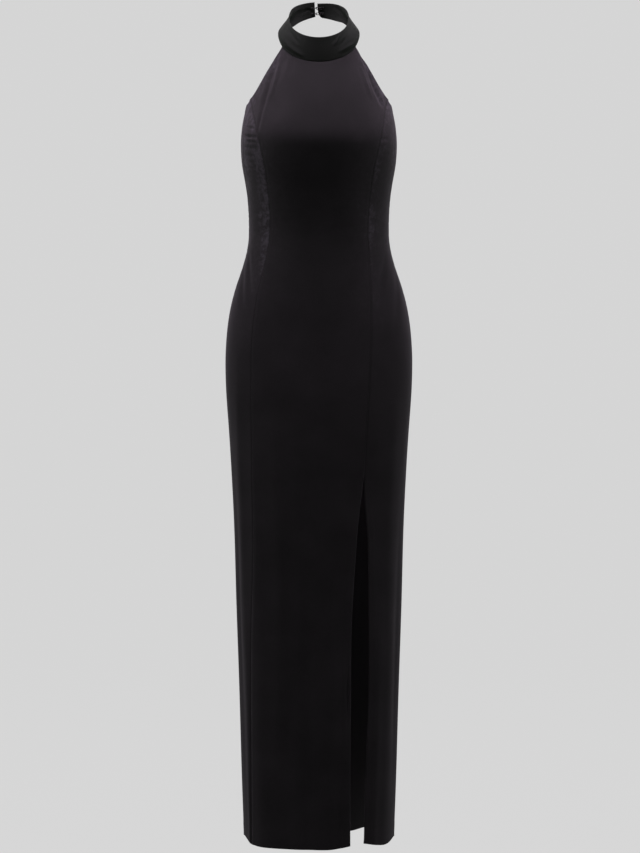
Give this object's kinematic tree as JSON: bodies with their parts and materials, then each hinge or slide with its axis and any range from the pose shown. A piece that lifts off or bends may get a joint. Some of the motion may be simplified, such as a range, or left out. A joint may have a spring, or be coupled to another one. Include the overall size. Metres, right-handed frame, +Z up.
{
  "type": "halter-neck maxi dress",
  "caption": "Long fitted velvet dress with a deep neck band that hooks at the nape, an open back and a slit in the front seam, held out hollow as if worn.",
  "frame": {"origin": "middle of the neck band, where the wearer's neck holds the dress", "axes": "+Z up, from the hem to the neck; the front faces -Y; +X is towards the wearer's left, where the slit is"},
  "size_m": [0.3338, 0.2571, 1.5018],
  "materials": {
    "velvet": "black velvet with a short nap",
    "hook_wire": "black lacquered wire"
  },
  "bodies": {
    "root": {"front_centre": "velvet", "front_side_right": "velvet", "front_side_left": "velvet", "back_left": "velvet", "back_right": "velvet", "neck_band": "velvet", "hook_lower": "hook_wire", "eye_lower": "hook_wire", "hook_upper": "hook_wire", "eye_upper": "hook_wire"}
  },
  "joints": []
}
